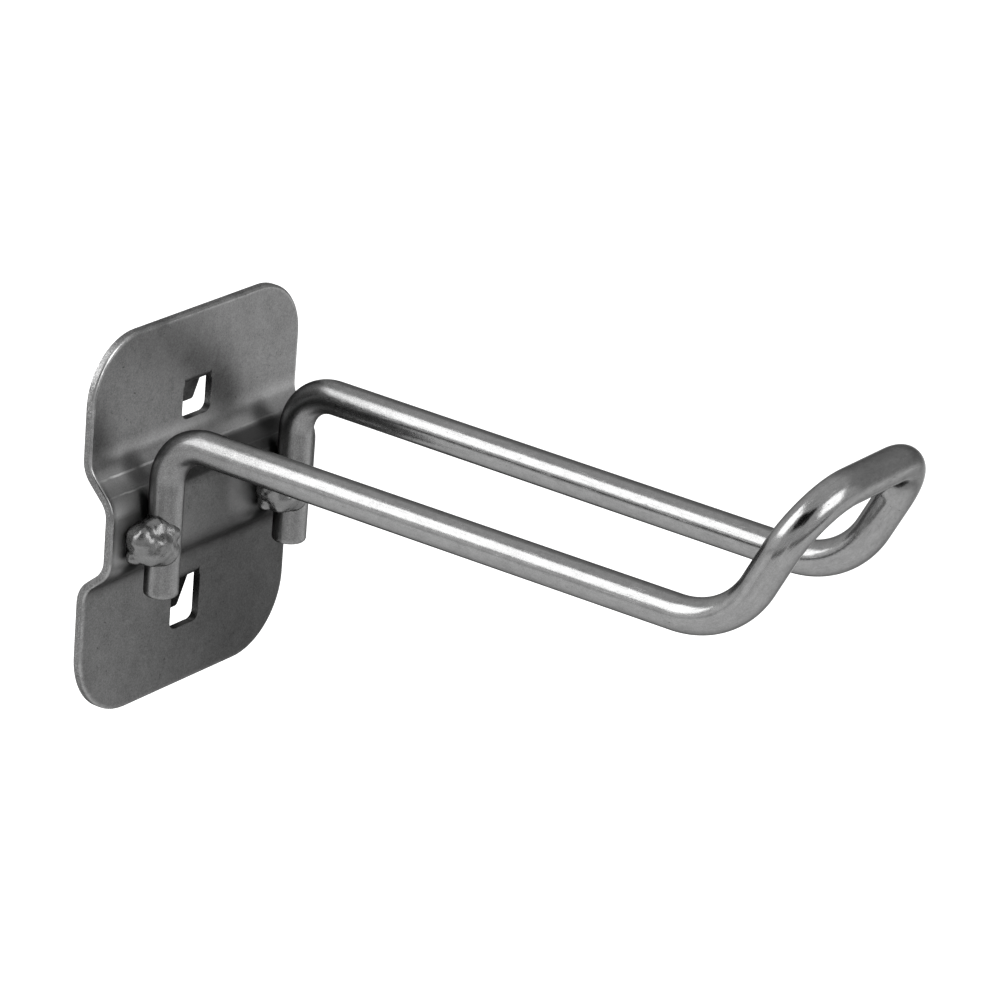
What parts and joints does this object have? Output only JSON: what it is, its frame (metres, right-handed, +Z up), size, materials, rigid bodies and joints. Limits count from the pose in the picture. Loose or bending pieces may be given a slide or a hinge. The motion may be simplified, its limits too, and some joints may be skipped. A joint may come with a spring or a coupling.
{
  "type": "u hook",
  "caption": "Double-prong U hook for a perforated tool panel: a bent wire welded to a stamped steel plate that hooks into square holes.",
  "frame": {"origin": "centre of the plate's back plane, midway between its sides and between its top and bottom, where it meets the panel", "axes": "+Z up, +X along the plate's width, the arms run out along -Y, the tongues point to +Y"},
  "size_m": [0.058, 0.1473, 0.0845],
  "materials": {
    "plate_steel": "satin zinc over cold-rolled sheet, slightly mottled",
    "wire_steel": "bright zinc over drawn wire, glossy",
    "weld_metal": "zinc-plated weld metal, lumpy"
  },
  "bodies": {
    "root": {"back_plate": "plate_steel", "wire_hook": "wire_steel", "weld_left": "weld_metal", "weld_right": "weld_metal"}
  },
  "joints": []
}
